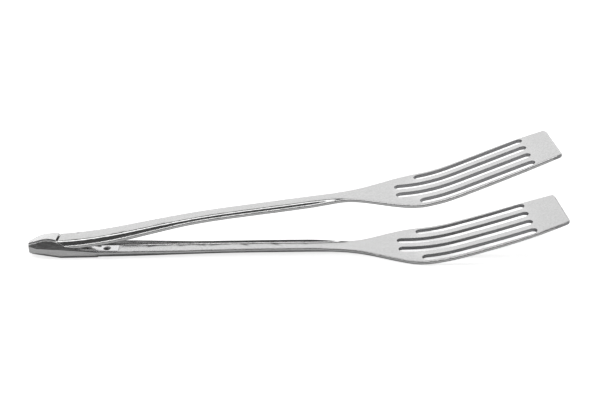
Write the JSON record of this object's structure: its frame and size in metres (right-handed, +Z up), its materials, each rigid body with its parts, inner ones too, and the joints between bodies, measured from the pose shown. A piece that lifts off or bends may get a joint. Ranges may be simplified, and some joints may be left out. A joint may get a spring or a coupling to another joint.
{
  "type": "spring loaded kitchen tongs",
  "caption": "Long stainless kitchen tongs with slotted spatula blades, channel handles and a sprung hinge head.",
  "frame": {"origin": "middle of the underside of the whole object's box, on the surface that the lower arm rests on", "axes": "+X from the hinge head to the blade tips, +Y along the hinge axis, +Z up from the lower arm to the upper arm"},
  "size_m": [0.3008, 0.0416, 0.0634],
  "materials": {
    "arm_steel": "satin, fine brushed",
    "cap_steel": "satin",
    "pin_steel": "turned",
    "spring_steel": "rolled strip",
    "rivet_steel": "cold headed"
  },
  "bodies": {
    "lower": {"lower_arm": "arm_steel", "head_cap": "cap_steel", "hinge_pin": "pin_steel", "hinge_collars": "pin_steel", "leaf_spring": "spring_steel", "spring_rivet": "rivet_steel"},
    "upper": {"upper_arm": "arm_steel", "hinge_sleeve": "pin_steel"}
  },
  "joints": [
    {"name": "arm_hinge", "type": "hinge", "parent": "lower", "child": "upper", "pos_m": [-0.1289, 0, 0.0047], "axis": [0, 1, 0], "range_deg": [0, 8], "stiffness_Nm_per_rad": 4, "springref_deg": -8.59, "deforming": ["leaf_spring"]}
  ]
}
